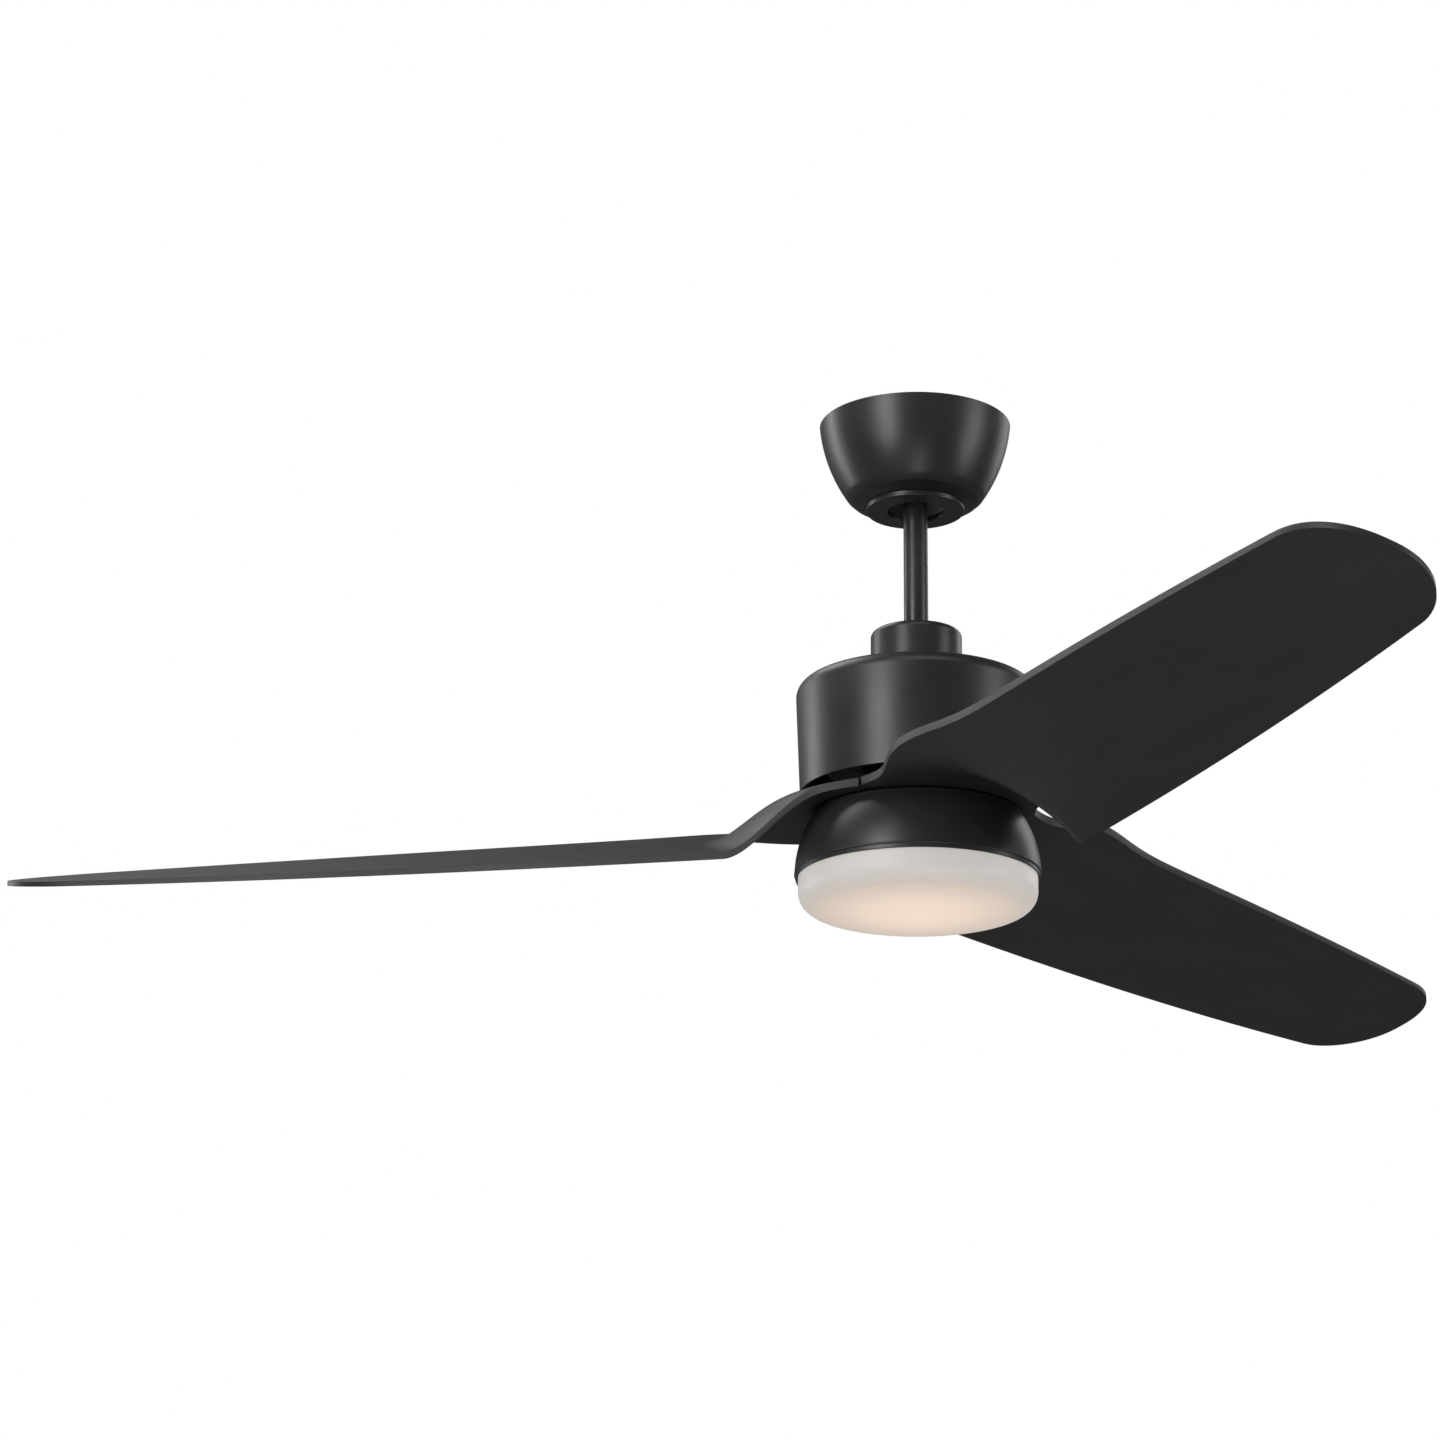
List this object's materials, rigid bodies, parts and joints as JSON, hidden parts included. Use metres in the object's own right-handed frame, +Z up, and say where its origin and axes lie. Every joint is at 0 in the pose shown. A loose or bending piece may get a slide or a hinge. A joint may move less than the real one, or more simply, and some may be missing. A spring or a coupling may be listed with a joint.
{
  "type": "ceiling fan with light",
  "caption": "Ceiling fan with pitched blades on a downrod, hung from a ball joint under a bowl canopy, with a frosted dome light below the hub.",
  "frame": {"origin": "on the fan's axis at the ceiling plane, midway between the bracket's two ceiling slots", "axes": "+Z up into the ceiling along the downrod, +X along the line of the two ceiling slots"},
  "size_m": [1.2331, 1.3268, 0.4195],
  "materials": {
    "black_paint": "satin black",
    "blade_black": "matte black moulded blade",
    "zinc_steel": "zinc plated",
    "shaft_steel": "ground steel",
    "lamination_steel": "stacked electrical steel",
    "winding_copper": "enamelled copper wire",
    "magnet_dark": "ferrite",
    "cast_aluminium": "as cast",
    "nylon_black": "moulded nylon",
    "nylon_white": "natural nylon",
    "receiver_grey": "moulded case",
    "wire_red": "wire insulation",
    "nut_orange": "moulded",
    "ground_green": "green passivated",
    "gasket_rubber": "matte",
    "board_white": "white solder mask",
    "chip_yellow": "phosphor",
    "opal_glass": "frosted opal, lit"
  },
  "bodies": {
    "ceiling_mount": {"hanger_bracket": "black_paint", "ground_screw": "ground_green", "canopy": "black_paint", "canopy_screws": "zinc_steel", "receiver": "receiver_grey", "receiver_leads": "wire_red", "wire_nuts": "nut_orange"},
    "canopy_ring": {"canopy_ring": "black_paint"},
    "ball_liner": {"ball_liner": "nylon_white"},
    "hanging_body": {"hanger_ball": "nylon_black", "ball_cross_pin": "zinc_steel", "ball_set_screw": "zinc_steel", "downrod": "black_paint", "motor_yoke": "black_paint", "clevis_pin": "zinc_steel", "cotter_pin": "zinc_steel", "yoke_set_screws": "zinc_steel", "yoke_jam_nuts": "zinc_steel", "motor_housing": "black_paint", "housing_screws": "zinc_steel", "housing_nuts": "zinc_steel", "motor_shaft": "shaft_steel", "stator_core": "lamination_steel", "stator_windings": "winding_copper", "bearing_inner_races": "shaft_steel", "bearing_ball_sets": "shaft_steel", "motor_leads": "wire_red", "light_plate": "zinc_steel", "shaft_nut": "zinc_steel", "light_bowl": "black_paint", "bowl_screws": "zinc_steel", "led_standoffs": "zinc_steel", "led_driver": "nylon_white", "heat_sink": "cast_aluminium", "led_board": "board_white", "led_chips": "chip_yellow", "board_screws": "zinc_steel", "bayonet_ring": "zinc_steel", "lip_gasket": "gasket_rubber"},
    "coupling_cover": {"coupling_cover": "black_paint"},
    "rotor": {"bearing_outer_races": "shaft_steel", "rotor_upper_shell": "cast_aluminium", "rotor_lower_shell": "cast_aluminium", "rotor_screws": "zinc_steel", "rotor_magnets": "magnet_dark", "blade_hub": "cast_aluminium", "hub_screws": "zinc_steel", "blade_gaskets": "gasket_rubber", "blade_screws": "zinc_steel", "blade_a": "blade_black", "blade_b": "blade_black", "blade_c": "blade_black"},
    "diffuser": {"diffuser": "opal_glass"}
  },
  "joints": [
    {"name": "ring_twist", "type": "hinge", "parent": "ceiling_mount", "child": "canopy_ring", "pos_m": [0, 0, -0.073], "axis": [0, 0, 1], "range_deg": [-18, 0]},
    {"name": "hang_swing_x", "type": "hinge", "parent": "ceiling_mount", "child": "ball_liner", "pos_m": [0, 0, -0.038], "axis": [1, 0, 0], "range_deg": [-11, 11]},
    {"name": "hang_swing_y", "type": "hinge", "parent": "ball_liner", "child": "hanging_body", "pos_m": [0, 0, -0.038], "axis": [0, 1, 0], "range_deg": [-11, 11]},
    {"name": "cover_slide", "type": "slide", "parent": "hanging_body", "child": "coupling_cover", "axis": [0, 0, 1], "range_m": [0, 0.085]},
    {"name": "rotor_spin", "type": "hinge", "parent": "hanging_body", "child": "rotor", "pos_m": [0, 0, -0.333], "axis": [0, 0, 1], "continuous": true},
    {"name": "diffuser_twist", "type": "hinge", "parent": "hanging_body", "child": "diffuser", "pos_m": [0, 0, -0.39], "axis": [0, 0, 1], "range_deg": [0, 26]}
  ]
}
